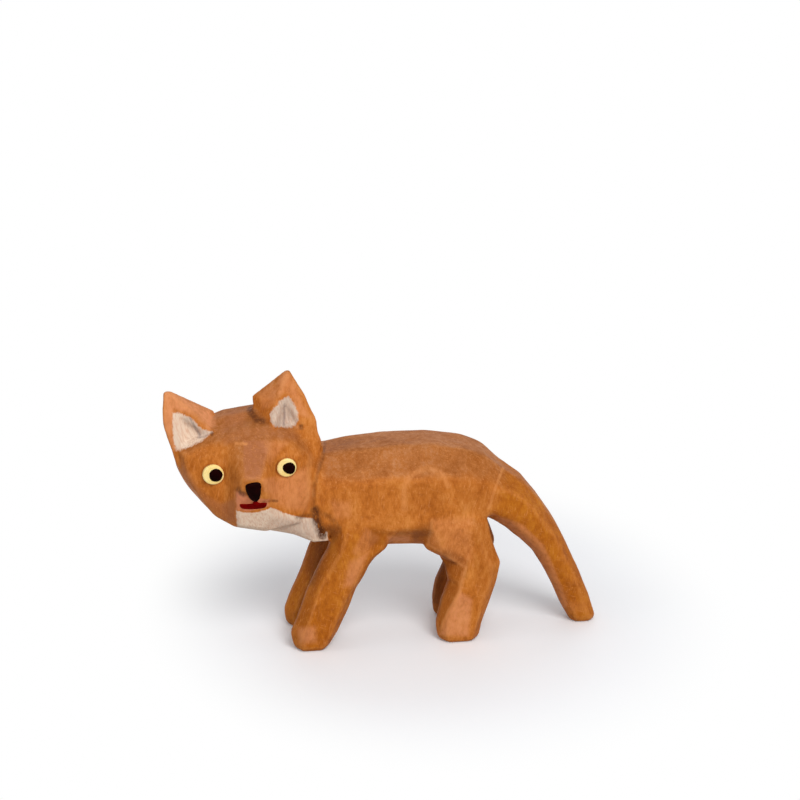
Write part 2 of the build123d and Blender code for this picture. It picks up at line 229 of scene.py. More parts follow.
# The whole fox is carved as one block, as its maker did, and parted into its pieces afterwards.
# A stroke then runs on over a glued joint, and the joint stays shut.
# Lengths in mm, angles in radians.
carving = {
    "grid": 0.27,
    "snapReach": 0.4,
    "softSteps": 10,
    # parting: how far a piece may stand out of its box, and how broadly neighbours share their border
    "boxMargin": 0.6,
    "labelSteps": 4,
    "shareSteps": 20,
    # broad flat cuts first, then single strokes
    "passes": {
        "broadTone": {
            "spacing": 4.8, "length": 15, "width": 7.5, "depth": 0.13,
            "full": 0.25, "none": 0.8, "lean": 0.4, "tilt": 0.03, "rubs": 5,
        },
        "strokeTone": {
            "spacing": 2.2, "length": 8, "width": 3.4, "depth": 0.035,
            "full": 0.12, "none": 0.4, "lean": 0.3, "tilt": 0.025, "rubs": 2,
        },
    },
    "candidates": 14,  # places tried for each stroke that fits
    "soleHeight": 0.6,
    "soleTurn": -0.7,
    "endOn": 0.93,  # a knife that would run this squarely into a face runs along the fox instead
    "depthSpread": (0.5, 1.3),
    "lengthSpread": (0.7, 1.2),
    "widthSpread": (0.75, 1.25),
    "strokeReach": 0.75,
    "toneBorder": (-0.01, 0.02),
    "tries": 3,
    "shrink": 0.6,  # where a wall is in the way, the stroke is tried again this much smaller
    "wallHeight": 2.5,
    "wallReach": 3,  # how far out a wall counts, in shares of the stroke's area
    "fadesFrom": 0.7,  # a stroke fades out from this share of that reach
    "reliefSteps": 6,
    "reliefScale": 0.03,
    "creaseSteps": 40,
    "creaseScale": 0.5,
    "upwardSteps": 8,
    "soakAndShadeSteps": 60,
    "rubbedBorder": (0.5, 1),  # where rubbing gets less and where it ends, in shares of its reach
    # lines on the sheet along which the block is rubbed softer: reach, steps
    "rubbed": [
        (2.6, 60, [*neckLine, (-18.5, 34.6)]),
        (2.6, 80, [(-38.9, 49.0), (-38.2, 41.2), (-39.0, 34.0)]),
        (2.6, 80, [(-28.0, 51.5), (-27.2, 44.0), (-26.0, 33.5)]),
        (3.6, 110, [(-15.5, 40.7), (-2.0, 41.6), (9.0, 42.0), (19.0, 41.4), (28.0, 40.2)]),
        (2.2, 50, [(13.0, 23.6), (16.5, 21.8), (20.4, 22.4)]),
        (3.0, 90, [(-24.5, 52.6), (-21.0, 50.3), (-18.4, 47.4)]),
        (2.4, 70, [(29.5, 31.2), (35.3, 29.2), (40.7, 23.9), (43.4, 18.5), (45.6, 13.2), (47.8, 7.8)]),
    ],
    "eyeGuard": (2.72, 3.4),  # nothing is rubbed nearer than this to the middle of an eye
    "eyeSeat": (0.1, 0.9),  # round an eye's rim the wood is level, and further out it runs free
    "seatDepth": 2,
    "facetDepth": (2.0, 3.0),  # a flat cut takes off this much at most
    "scoredBorder": (0.2, 1.7),  # where a scored line gets shallower and ends, in half widths
    # lines scored with the knife's point: half width, depth
    "scored": [
        (0.42, 0.24, [*neckLine, (-18.3, 34.6), (-17.8, 32.7)]),
        (0.3, 0.12, [(30.1, 43.8), (28.8, 40.8), (27.5, 37.2), (26.5, 33.6)]),
        (0.9, 0.08, [
            (5.0, 33.5), (5.0, 37.0), (5.8, 40.4), (7.6, 42.5), (11.1, 43.7), (14.2, 42.4), (16.2, 39.4),
        ]),
        (0.22, 0.2, [(-30.4, 35.7), (-28.2, 36.3)]),
    ],
    "facetFull": 0.6,  # the share of the reach within which a flat cut is full
    # flat cuts through three corners each: piece, reach, corners
    "facets": [
        ("hind_left_leg", 16, [(19.9, -8.05, 21.2), (14.2, -8.05, 3.7), (13.6, -2.6, 21.3)]),
        ("front_left_leg", 9, [(-7.5, -8.05, 25.2), (-5.9, -8.0, 32.8), (-1.0, -6.6, 29.0)]),
    ],
    # places where the block was left fuller or leaner than its plain form: middle, reach, move
    "pulled": [
        ((36.5, 1.5, 26.0), 10.5, (-0.7, -0.2, -0.8)),
        ((42.0, 2.0, 17.0), 10.5, (-0.9, -0.2, -0.5)),
        ((46.5, 2.5, 7.5), 10.5, (-0.9, -0.2, -0.1)),
        ((24.0, 9.0, 48.5), 11, (0.1, 0, 0.6)),
        ((-1.2, -6.0, 28.4), 5, (0.9, 0, -0.4)),
        ((-8.5, -7.5, 20.5), 6, (0.6, 0, -0.1)),
        ((10.6, -5.0, 27.6), 5, (-0.8, 0, -1.1)),
        ((-55.2, -2.2, 64.0), 6, (-0.6, 0, 0)),
        ((-50.9, -3.0, 47.5), 5, (-0.4, 0, -0.2)),
        ((-18.0, -1.5, 61.0), 5, (0.5, 0, 0)),
        ((-17.0, 1.0, 55.3), 4.5, (1.3, 0, 0)),
        ((-29.0, -1.5, 64.0), 5, (-0.4, 0, 0.1)),
        ((-21.0, 10.0, 15.0), 10, (0.9, 0, 0)),
        ((-24.0, -5.0, 4.0), 5, (-0.7, 0, 0)),
        ((-23.5, 10.0, 3.0), 5, (-0.6, 0, 0)),
        ((15.0, 12.0, 15.0), 8, (0.6, 0, 0)),
        ((14.5, -5.0, 4.0), 5, (-0.5, 0, 0)),
    ],
}

# which way the knife ran on each piece, how boldly and in how long sweeps,
# how many steps its edges are rubbed, and how deep the stain went in, which on the far legs is painted
# shade too
woodPieces = {
    "torso": {"run": (0.18, 0, 1), "bold": 1.0, "sweep": 1.0, "soft": 45, "soaked": 0.1},
    "head": {"run": (0.35, 0, 1), "bold": 0.6, "sweep": 0.8, "soft": 14, "soaked": 0.1},
    "left_ear": {"run": (-0.1, 0, 1), "bold": 0.4, "sweep": 0.5, "soft": 5, "soaked": 0.0},
    "right_ear": {"run": (-0.4, 0, 1), "bold": 0.4, "sweep": 0.5, "soft": 5, "soaked": 0.0},
    "tail": {"run": (0.62, 0, -1), "bold": 0.8, "sweep": 0.9, "soft": 8, "soaked": 0.9},
    "front_left_leg": {"run": (0.42, 0, 1), "bold": 1.0, "sweep": 0.8, "soft": 6, "soaked": 0.8},
    "front_right_leg": {"run": (0.42, 0, 1), "bold": 1.0, "sweep": 0.8, "soft": 6, "soaked": 0.9},
    "hind_left_leg": {"run": (0.2, 0, 1), "bold": 1.0, "sweep": 0.8, "soft": 6, "soaked": 0.25},
    "hind_right_leg": {"run": (0.2, 0, 1), "bold": 1.0, "sweep": 0.8, "soft": 6, "soaked": 0.8},
}
eyeStand = 0.35  # how far the eyes stand out of the face
mouthRecess = 0.3
sheetSees = (0.05, 0.3)  # how far a face has to turn towards the camera's direction


def unit(vectors):
    return vectors / (np.linalg.norm(vectors, axis=-1, keepdims=True) + 1e-12)


def fade(values, full, none):
    # 1 up to full, 0 from none on, smooth between
    share = np.clip((values - full) / (none - full), 0, 1)
    return 1 - share * share * (3 - 2 * share)


def boxOf(node):
    # lowest and highest corner, in mm
    return [np.array(corner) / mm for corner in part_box(node)]


def onSheet(points):
    # places on a sheet held square to the camera's direction
    back = towards(camera["azimuth"], camera["elevation"])
    right = np.array([-back[1], back[0], 0]) / math.hypot(back[0], back[1])
    return np.stack([points @ right, points @ np.cross(back, right)], 1)


def towardsSheet(normals):
    # 1 on faces that the sheet sees, 0 on those turned away
    return 1 - fade(normals @ towards(camera["azimuth"], camera["elevation"]), *sheetSees)


def outlineDistance(flat, outline):
    # mm from an outline, above 0 inside
    outline = np.array(outline, float)
    distance = np.full(len(flat), 1e9)
    inside = np.zeros(len(flat), bool)
    for (x0, y0), (x1, y1) in zip(outline, np.roll(outline, -1, 0)):
        edge = np.array([x1 - x0, y1 - y0])
        rel = flat - (x0, y0)
        share = np.clip(rel @ edge / (edge @ edge), 0, 1)
        distance = np.minimum(distance, np.linalg.norm(rel - share[:, None] * edge, axis=1))
        if y0 != y1:
            crosses = (y0 > flat[:, 1]) != (y1 > flat[:, 1])
            inside ^= crosses & (flat[:, 0] < (x1 - x0) * (flat[:, 1] - y0) / (y1 - y0) + x0)
    return np.where(inside, distance, -distance)


def lineDistance(flat, line):
    distance = np.full(len(flat), 1e9)
    for start, end in zip(line, line[1:]):
        edge = np.subtract(end, start)
        share = np.clip((flat - start) @ edge / (edge @ edge), 0, 1)
        distance = np.minimum(distance, np.linalg.norm(flat - start - share[:, None] * edge, axis=1))
    return distance


def nearLine(flat, line, reach, border):
    # 1 on a line, 0 away from it, with a border between two shares of the reach
    full, none = border
    return fade(lineDistance(flat, line), full * reach, none * reach)


def solidCopy(node):
    # a welded copy of a CAD solid, in mm
    work = bmesh.new()
    work.from_mesh(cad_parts[node].data)
    bmesh.ops.scale(work, vec=(1 / mm,) * 3, verts=work.verts)
    bmesh.ops.remove_doubles(work, verts=work.verts, dist=0.001)
    return work


def flushPlug(node, outward, level):
    # an inset cut off level with the wood, to fill its own pocket
    work = solidCopy(node)
    for vert in work.verts:
        proud = vert.co @ Vector(outward) - level
        if proud > 0:
            vert.co -= Vector(outward) * proud
    return work


def muzzlePlane():
    # the muzzle's sloping front, found from the strip that is let into it
    front = min(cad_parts["mouth"].data.polygons, key=lambda face: face.normal.y)
    outward = np.array(front.normal)
    return outward, float(outward @ np.array(front.center)) / mm + mouthRecess


def facePlane(side):
    return np.array([0.0, -1.0, 0.0]), -boxOf(side + "_eye")[0][1] - eyeStand


def wholeBlock():
    works = {name: solidCopy(name) for name in woodPieces}
    solids = {name: BVHTree.FromBMesh(work) for name, work in works.items()}
    works["mouth"] = solidCopy("mouth")
    works["nose"] = flushPlug("nose", *muzzlePlane())
    for side in ("left", "right"):
        works[side + "_eye"] = flushPlug(side + "_eye", *facePlane(side))
    whole = bmesh.new()
    for name, work in works.items():
        mesh = bpy.data.meshes.new(name)
        work.to_mesh(mesh)
        whole.from_mesh(mesh)
        bpy.data.meshes.remove(mesh)
        work.free()
    return whole, solids


def evenGrid(whole):
    # the block's surface as even quads that lie on its faces
    surface = BVHTree.FromBMesh(whole)
    mesh = bpy.data.meshes.new("block")
    whole.to_mesh(mesh)
    whole.free()
    block = bpy.data.objects.new("block", mesh)
    bpy.context.scene.collection.objects.link(block)
    remesh = block.modifiers.new("grid", "REMESH")
    remesh.mode = "VOXEL"
    remesh.voxel_size = carving["grid"]
    bpy.context.view_layer.update()
    ready = block.evaluated_get(bpy.context.evaluated_depsgraph_get())
    made = bpy.data.meshes.new_from_object(ready)
    points = np.empty(len(made.vertices) * 3)
    made.vertices.foreach_get("co", points)
    points = points.reshape(-1, 3)
    quads = np.empty(len(made.loops), dtype=np.int64)
    made.loops.foreach_get("vertex_index", quads)
    bpy.data.objects.remove(block)
    for i, point in enumerate(points):
        found = surface.find_nearest(Vector(point), carving["snapReach"])
        if found[0] is not None:
            points[i] = found[0]
    return points, quads.reshape(-1, 4)


def gathered(index, values, count):
    # for each point, the sum of the values that belong to it
    sums = [np.bincount(index, values[:, column], count) for column in range(values.shape[1])]
    return np.stack(sums, 1)


def normalsOf(points, quads):
    a, b, c, d = (points[corner] for corner in quads.T)
    return unit(gathered(quads.ravel(), np.repeat(np.cross(c - a, d - b), 4, 0), len(points)))


def blurred(values, quads, steps):
    # each value moves to the mean of itself and its neighbours
    ends, others = quads.ravel(), np.roll(quads, -1, 1).ravel()
    count = np.bincount(ends, minlength=len(values))[:, None] + 1
    for _ in range(steps):
        values = (values + gathered(ends, values[others], len(values))) / count
    return values


def pieceShares(points, quads, solids):
    # how much of each point belongs to which piece
    margin = carving["boxMargin"]
    within = np.stack([
        np.all((points > low - margin) & (points < high + margin), 1)
        for low, high in map(boxOf, solids)
    ], 1)
    label = np.argmax(within, 1)
    for i in np.nonzero(within.sum(1) != 1)[0]:
        nearest = 1e9
        for k, solid in enumerate(solids.values()):
            if within[i, k] or not within[i].any():
                distance = solid.find_nearest(Vector(points[i]))[3]
                if distance < nearest:
                    nearest, label[i] = distance, k
    return blurred(np.eye(len(solids))[label], quads, carving["labelSteps"])


def chooseStrokes(points, normals, label, strokePass):
    # places for the strokes, evenly spread over the block, none of them on the soles
    spacing = strokePass["spacing"]
    wanted = int(carving["candidates"] * len(points) * (carving["grid"] / spacing) ** 2)
    kept = np.empty((wanted, 3))
    chosen = []
    for i in rng.permutation(len(points))[:wanted]:
        if points[i, 2] < carving["soleHeight"] and normals[i, 2] < carving["soleTurn"]:
            continue
        taken = kept[:len(chosen)]
        if len(taken) and np.min(np.sum((taken - points[i]) ** 2, 1)) < spacing ** 2:
            continue
        kept[len(chosen)] = points[i]
        chosen.append(i)
    chosen = np.array(chosen)
    count = len(chosen)
    habits = list(woodPieces.values())
    bold = np.array([habits[label[i]]["bold"] for i in chosen])
    sweep = np.array([habits[label[i]]["sweep"] for i in chosen])
    run = unit(np.array([habits[label[i]]["run"] for i in chosen], float))
    normal = unit(normals[chosen] + rng.normal(0, strokePass["tilt"], (count, 3)))
    endOn = np.abs(np.sum(run * normal, 1)) > carving["endOn"]
    run[endOn] = (1, 0, 0)
    along = unit(run - normal * np.sum(run * normal, 1, keepdims=True))
    across = np.cross(normal, along)
    lean = rng.normal(0, strokePass["lean"], (count, 1))
    return {
        "centre": points[chosen],
        "normal": normal,
        "along": along * np.cos(lean) + across * np.sin(lean),
        "across": across * np.cos(lean) - along * np.sin(lean),
        "depth": strokePass["depth"] * bold * rng.uniform(*carving["depthSpread"], count),
        "length": strokePass["length"] * sweep * rng.uniform(*carving["lengthSpread"], count),
        "width": strokePass["width"] * sweep * rng.uniform(*carving["widthSpread"], count),
        "tone": rng.uniform(0, 1, count),
    }


def troughOver(offset, strokes, k, strokePass):
    # how far points stand over a stroke's shallow trough
    # a stroke that a wall would stop is made smaller
    u, v = offset @ strokes["along"][k], offset @ strokes["across"][k]
    height = offset @ strokes["normal"][k]
    reach = carving["wallReach"]
    for size in carving["shrink"] ** np.arange(carving["tries"]):
        length, width = strokes["length"][k] * size, strokes["width"][k] * size
        apart = (2 * u / length) ** 2 + (2 * v / width) ** 2
        over = height - strokes["depth"][k] * size * (apart - 1)
        wall = (apart < reach) & (over > strokePass["full"]) & (over < carving["wallHeight"])
        if not wall.any():
            return np.minimum(over, over * fade(apart, carving["fadesFrom"] * reach, reach))
    return np.full(len(offset), -1.0)


def carve(points, strokes, strokePass):
    # one stroke after another takes off what stands above its own shallow trough
    order = np.argsort(points[:, 0])
    place = points[order]
    start = place[:, 0].copy()
    tone = np.full(len(points), 0.5)
    for k, centre in enumerate(strokes["centre"]):
        reach = carving["strokeReach"] * strokes["length"][k]
        first, last = np.searchsorted(start, [centre[0] - reach, centre[0] + reach])
        offset = place[first:last] - centre
        near = np.nonzero(np.all(np.abs(offset[:, 1:]) < reach, 1))[0]
        over = troughOver(offset[near], strokes, k, strokePass)
        share = fade(over, strokePass["full"], strokePass["none"])
        place[first + near] -= (np.maximum(over, 0) * share)[:, None] * strokes["normal"][k]
        touched = share * (1 - fade(over, *carving["toneBorder"]))
        tone[first + near] += (strokes["tone"][k] - tone[first + near]) * touched
    back = np.empty_like(order)
    back[order] = np.arange(len(order))
    return place[back], tone[back]


def facetCut(points, shares, piece, reach, corners):
    # takes off what stands over the plane through three corners
    corners = np.array(corners)
    outward = unit(np.cross(corners[1] - corners[0], corners[2] - corners[0]))
    outward = outward if outward[1] < 0 else -outward
    over = (points - corners[0]) @ outward
    apart = np.linalg.norm(points - corners.mean(0), axis=1)
    near = fade(apart, carving["facetFull"] * reach, reach)
    share = near * shares[:, list(woodPieces).index(piece)] * fade(over, *carving["facetDepth"])
    return points - (np.maximum(over, 0) * share)[:, None] * outward


def rubbed(points, shares):
    # edges are softened, on each piece and along each rubbed line as much as it wants
    habits = np.array([habit["soft"] for habit in woodPieces.values()], float)
    wanted = blurred(shares, quads, carving["shareSteps"]) @ habits
    soft = unit(blurred(normalsOf(points, quads), quads, carving["softSteps"]))
    flat, seen = onSheet(points), towardsSheet(soft)
    for reach, steps, line in carving["rubbed"]:
        along = nearLine(flat, line, reach, carving["rubbedBorder"])
        wanted = np.maximum(wanted, steps * along * seen)
    for side in ("left", "right"):
        low, high = boxOf(side + "_eye")
        apart = np.linalg.norm(points - (low + high) / 2, axis=1)
        wanted *= 1 - fade(apart, *carving["eyeGuard"])
    for step in range(int(wanted.max()) + 1):
        share = np.clip(wanted - step, 0, 1)[:, None]
        points = points + (blurred(points, quads, 1) - points) * share
    return points


def pulled(points):
    for middle, reach, move in carving["pulled"]:
        share = fade(np.linalg.norm(points - middle, axis=1), 0, reach)
        points = points + share[:, None] * np.array(move, float)
    return points


def rimDistance(points, side):
    # mm from an eye's rim, above 0 outside it
    low, high = boxOf(side + "_eye")
    middle = (low + high) / 2
    return np.linalg.norm((points - middle)[:, [0, 2]], axis=1) - (high[0] - low[0]) / 2


def seated(points):
    # the wood round each eye stays below the eye's rim
    for side in ("left", "right"):
        outward, level = facePlane(side)
        over = points @ outward - level
        share = fade(rimDistance(points, side), *carving["eyeSeat"]) * (np.abs(over) < carving["seatDepth"])
        points = points - (np.maximum(over, 0) * share)[:, None] * outward
    return points


def scored(points):
    normals = normalsOf(points, quads)
    flat, seen = onSheet(points), towardsSheet(normals)
    for width, depth, line in carving["scored"]:
        share = nearLine(flat, line, width, carving["scoredBorder"]) * seen
        points = points - (depth * share)[:, None] * normals
    return points


whole, solids = wholeBlock()
points, quads = evenGrid(whole)
shares = pieceShares(points, quads, solids)
print("block made,", len(points), "points")

for facet in carving["facets"]:
    points = facetCut(points, shares, *facet)
points = rubbed(pulled(points), shares)
fields = {}
for passName, strokePass in carving["passes"].items():
    soft = unit(blurred(normalsOf(points, quads), quads, carving["softSteps"]))
    strokes = chooseStrokes(points, soft, np.argmax(shares, 1), strokePass)
    points, fields[passName] = carve(points, strokes, strokePass)
    points = blurred(points, quads, strokePass["rubs"])
    print(passName, "carved,", len(strokes["depth"]), "strokes")
points = scored(seated(points))
points = np.clip(points, *(np.array(corner) / mm for corner in cadBox))  # inside the solids' box
normals = normalsOf(points, quads)


def standing(steps, scale):
    # above 0 on ridges, below 0 in hollows
    out = np.sum((points - blurred(points, quads, steps)) * normals, 1) / scale
    return np.clip(out, -1, 1)


fields["relief"] = standing(carving["reliefSteps"], carving["reliefScale"])
fields["crease"] = standing(carving["creaseSteps"], carving["creaseScale"])
fields["upward"] = blurred(normals, quads, carving["upwardSteps"])[:, 2]


# Painted places, as outlines and lines on a sheet held square to the camera's direction, in mm.
paint = {
    "rightEarLining": [
        (-52.9, 57.9), (-53.0, 54.9), (-52.8, 51.2), (-52.1, 48.3), (-49.2, 49.2), (-46.1, 50.6),
        (-43.9, 52.3), (-43.0, 53.2), (-45.1, 53.7), (-46.7, 54.9), (-47.6, 56.2), (-49.5, 57.3),
        (-51.3, 58.1),
    ],
    "leftEarLining": [
        (-24.2, 62.1), (-25.8, 61.2), (-27.0, 59.9), (-28.6, 57.7), (-28.4, 55.9), (-27.6, 54.6),
        (-25.5, 54.3), (-23.4, 54.3), (-22.3, 54.9), (-21.5, 56.2), (-21.8, 58.4), (-22.4, 59.9),
        (-23.3, 61.5),
    ],
    "chin": [
        (-37.0, 33.5), (-34.2, 33.0), (-31.7, 33.1), (-29.5, 33.7), (-28.5, 34.2), (-27.4, 33.9),
        (-25.6, 32.8), (-23.1, 32.0), (-21.3, 31.6), (-18.2, 31.2), (-16.9, 29.9), (-14.4, 29.5),
        (-14.3, 23.0), (-37.0, 23.0),
    ],
    # seen from below, across and back
    "underChin": [(-38.6, -15), (-13, -15), (-13, 7), (-25, 5), (-35, -3), (-38.6, -8)],
    "lips": [
        (-36.9, 38.5), (-34.5, 37.8), (-33.3, 36.4), (-31.0, 36.6), (-28.6, 36.4), (-28.9, 34.6),
        (-30.5, 33.9), (-34.2, 33.3), (-36.9, 33.7),
    ],
    # tones of painted light and shade on the stain: strength, softness of the border, outline
    # a painted mauve sheen of the light from above, on the bridge, brow and cheeks
    "rosy": [
        (1.0, 0.4, [
            (-35.1, 51.0), (-30.2, 51.3), (-28.9, 48.7), (-29.7, 45.0), (-30.6, 41.3), (-34.5, 41.0),
            (-34.9, 44.4),
        ]),
        (0.55, 1.0, [
            (-40.1, 57.7), (-37.6, 58.7), (-35.0, 57.7), (-34.9, 54.9), (-38.2, 53.7), (-41.0, 52.4),
        ]),
        (0.45, 0.8, [
            (-41.0, 52.1), (-36.7, 54.0), (-30.5, 54.3), (-24.3, 53.7), (-21.2, 52.4), (-21.8, 51.1),
            (-30.4, 51.5), (-36.6, 50.9), (-39.7, 50.0),
        ]),
        (0.8, 0.6, [(-41.2, 35.1), (-37.2, 36.6), (-37.1, 30.4), (-41.0, 30.7)]),
        (0.7, 0.8, [
            (-51.4, 45.5), (-49.5, 41.1), (-45.8, 36.2), (-41.2, 31.4), (-39.9, 34.6), (-44.3, 37.0),
            (-47.1, 39.9), (-48.9, 43.3),
        ]),
    ],
    # painted highlights on faces and rims turned to the light, and painted light thrown up from the table
    # under the belly and the tail
    "pale": [
        (0.85, 0.8, [
            (-54.9, 64.0), (-52.9, 64.0), (-48.4, 60.9), (-43.5, 58.5), (-42.5, 54.9), (-43.9, 54.0),
            (-46.7, 57.4), (-52.6, 59.0), (-53.2, 53.1), (-51.8, 49.0), (-53.0, 48.6), (-55.2, 54.9),
        ]),
        (0.5, 0.8, [
            (-26.4, 67.2), (-24.8, 69.0), (-23.0, 66.8), (-20.8, 61.5), (-18.7, 56.8), (-21.8, 57.4),
            (-23.3, 62.1), (-24.8, 63.4), (-26.7, 62.1),
        ]),
        (0.3, 0.8, [(-31.5, 63.0), (-29.0, 64.8), (-26.4, 65.0), (-27.2, 60.5), (-30.6, 58.6)]),
        (0.5, 1.2, [
            (-28.7, 40.6), (-19.6, 44.2), (-18.1, 37.8), (-19.7, 33.4), (-24.4, 33.6), (-28.5, 36.5),
        ]),
        (0.35, 0.8, [(-30.4, 50.8), (-24.0, 50.6), (-25.4, 49.2), (-28.4, 45.4)]),
        (0.5, 0.6, [(-37.4, 38.4), (-34.8, 38.4), (-34.6, 36.0), (-37.1, 35.0)]),
        (0.25, 1.3, [(12.2, 30.7), (22.4, 31.6), (22.5, 20.2), (20.9, 18.2), (11.2, 24.3)]),
        (0.7, 0.8, [(19.4, 11.9), (16.4, 6.6), (14.4, 0.5), (21.6, 0.2), (22.5, 9.7)]),
        (0.3, 0.6, [(-4.6, 28.8), (-1.1, 26.1), (-6.2, 20.5), (-8.2, 22.5)]),
        (0.55, 1.0, [(-8.9, 19.8), (-6.0, 21.6), (-3.8, 22.7), (-6.0, 17.6), (-8.1, 13.6), (-10.3, 13.6)]),
        (0.65, 1.0, [(-22.3, 2.8), (-17.9, 3.1), (-17.6, -0.9), (-21.9, -1.2)]),
        (0.3, 1.0, [(-13.5, 35.5), (-8.5, 35.5), (-8.5, 31.5), (-12.5, 31.0)]),
        (0.15, 0.8, [(47.1, 8.8), (52.5, 8.3), (52.5, 5.6), (47.6, 5.6)]),
        (0.5, 0.5, [(-30.2, 41.5), (-27.0, 42.0), (-27.0, 37.0), (-30.0, 38.5)]),
        (0.6, 0.6, [(0.8, 26.4), (6.5, 26.4), (6.5, 24.6), (0.8, 24.8)]),
        (0.5, 0.5, [
            (27.0, 30.2), (32.2, 27.6), (37.4, 23.5), (40.8, 18.2), (43.5, 12.0), (47.0, 5.8),
            (48.0, 7.8), (45.8, 13.2), (43.6, 18.5), (40.9, 23.9), (35.5, 29.2), (29.5, 31.2),
        ]),
    ],
    # painted shade on faces turned from the light, under the chest and belly and on the legs
    "umber": [
        (0.1, 0.5, [
            (-38.4, 48.7), (-35.4, 50.0), (-34.9, 44.4), (-34.9, 40.1), (-36.5, 38.8), (-38.2, 41.2),
            (-38.8, 45.0),
        ]),
        (0.4, 1.0, [(-34.9, 58.6), (-31.0, 58.6), (-28.6, 55.2), (-34.9, 54.6)]),
        (0.7, 0.4, [
            (15.3, 19.6), (20.9, 18.2), (19.4, 11.9), (16.4, 6.6), (14.4, 2.3), (12.0, 6.0), (12.0, 19.6),
        ]),
        (0.9, 0.6, [(15.2, 23.2), (18.5, 21.9), (21.6, 20.0), (21.0, 15.5), (15.5, 16.0), (14.6, 20.0)]),
        (0.55, 0.5, [
            (-13.8, 19.4), (-18.5, 10.1), (-20.1, -1.4), (-24.0, 0.0), (-22.0, 10.0), (-15.5, 24.0),
        ]),
        (0.95, 0.8, [(-15.0, 29.6), (-10.8, 29.0), (-12.8, 23.5), (-15.9, 15.3), (-20.0, 17.0)]),
        (0.6, 1.2, [
            (-13.9, 24.8), (-10.7, 25.9), (-11.0, 20.8), (-12.1, 17.2), (-14.3, 17.6), (-15.0, 20.8),
        ]),
        (0.85, 0.6, [(-19.2, 25.0), (-16.6, 25.0), (-16.6, 15.4), (-19.2, 13.4), (-20.0, 16.7)]),
        (0.35, 0.6, [(-10.6, 11.0), (-9.0, 10.5), (-9.4, 7.5), (-11.0, 8.0)]),
        (0.7, 0.5, [(-3.2, 29.0), (-0.1, 27.2), (0.9, 24.0), (-4.0, 24.6)]),
        (0.95, 0.8, [(6.4, 28.3), (12.2, 30.2), (11.6, 24.4), (7.6, 24.4)]),
        (0.8, 0.6, [(3.0, 28.4), (11.0, 28.8), (11.0, 26.7), (3.0, 26.9)]),
        (0.15, 0.8, [(47.5, 14.0), (51.5, 13.0), (53.5, 2.5), (49.5, 2.0)]),
        (0.25, 1.5, [(17.5, 42.5), (28.5, 41.0), (26.5, 32.5), (19.0, 33.0)]),
        (0.22, 1.0, [
            (5.8, 33.0), (6.0, 38.6), (7.8, 41.6), (11.1, 42.8), (14.6, 41.0), (16.0, 36.5), (15.0, 32.0),
        ]),
        (0.3, 1.0, [(22.6, 31.0), (26.0, 30.0), (29.4, 20.0), (24.6, 9.7), (22.6, 20.0)]),
        (0.6, 0.5, [(26.0, 29.5), (27.4, 29.0), (29.6, 21.0), (28.4, 20.5), (27.0, 25.0)]),
    ],
    "lineBorder": (0.3, 1.7),  # where a painted line gets fainter and ends, in half widths
    # lines with their half width and strength
    # painted shade in creases and slits, behind the ears, under the chin and throat and at the belly's end,
    # with the dark joint line in the neck's groove
    "burnt": [
        (0.8, 0.8, [(-33.8, 58.7), (-32.1, 56.2), (-30.5, 55.9)]),
        (0.5, 0.8, [(-20.9, 54.6), (-20.9, 54.2)]),
        (0.4, 0.7, [(-43.1, 52.9), (-43.1, 52.5)]),
        (0.5, 0.6, [(-21.9, 31.5), (-18.8, 32.0)]),
        (0.7, 0.4, [(-17.4, 33.0), (-13.9, 31.6), (-11.4, 28.8), (-10.3, 27.2)]),
        (1.1, 0.95, [(-17.5, 33.3), (-17.2, 30.7), (-16.2, 28.8), (-15.8, 26.6)]),
        (1.3, 0.35, [(-13.4, 28.6), (-12.8, 26.0)]),
        (1.0, 0.35, [(-16.2, 25.0), (-17.3, 20.3), (-18.6, 14.5)]),
        (1.2, 0.3, [(8.6, 27.0), (11.3, 27.6)]),
        (0.9, 0.55, [(15.4, 18.5), (14.3, 12.9), (13.5, 8.5)]),
        (0.4, 0.42, [
            (-15.2, 50.3), (-15.5, 46.6), (-16.8, 42.6), (-17.5, 39.4), (-17.8, 34.6), (-17.2, 32.7),
        ]),
        (0.65, 0.8, [(-36.2, 38.9), (-35.6, 38.1), (-34.9, 37.7)]),
        (0.9, 0.16, [(-39.2, 53.7), (-34.9, 55.2), (-28.9, 55.4), (-25.5, 54.1), (-21.2, 54.4)]),
        (0.8, 0.1, [(-38.5, 51.2), (-30.4, 52.1), (-21.2, 52.2)]),
        (0.3, 0.7, [(-30.2, 35.6), (-28.2, 36.0), (-26.9, 35.8)]),
    ],
    "worn": [
        (0.7, 0.42, [
            (5.0, 33.5), (5.0, 37.0), (5.3, 39.4), (6.1, 41.2), (7.6, 42.6), (9.3, 43.4), (11.1, 43.7),
            (12.8, 43.4), (14.2, 42.5), (15.4, 41.2), (16.2, 39.4),
        ]),
        (0.35, 0.5, [(30.4, 43.8), (29.1, 40.8), (27.8, 37.2), (26.8, 33.6)]),
        (0.35, 0.8, [(-36.9, 50.4), (-34.4, 50.2)]),
        (0.5, 0.5, [(-18.6, 47.3), (-18.9, 42.6), (-19.3, 36.2)]),
        (0.4, 0.6, [(20.9, 18.2), (19.4, 11.9), (16.4, 6.6), (14.6, 2.3)]),
        (0.35, 0.5, [(12.2, 30.7), (11.2, 24.3), (20.9, 18.2)]),
        (0.4, 0.4, [(-22.6, 54.9), (-22.1, 54.3)]),
    ],
    # painted shade on the white paint, in the ears' hollows and on the throat
    "grey": [
        (0.35, 0.9, [(-48.5, 56.8), (-47.6, 54.9), (-46.2, 52.4)]),
        (0.3, 0.8, [(-46.6, 51.8), (-45.2, 52.0), (-43.6, 52.6)]),
        (1.3, 0.35, [(-48.8, 56.3), (-44.8, 53.2)]),
        (0.35, 0.9, [(-25.0, 60.1), (-25.0, 57.7), (-25.2, 54.9)]),
        (0.3, 0.6, [(-23.8, 57.7), (-24.0, 55.4)]),
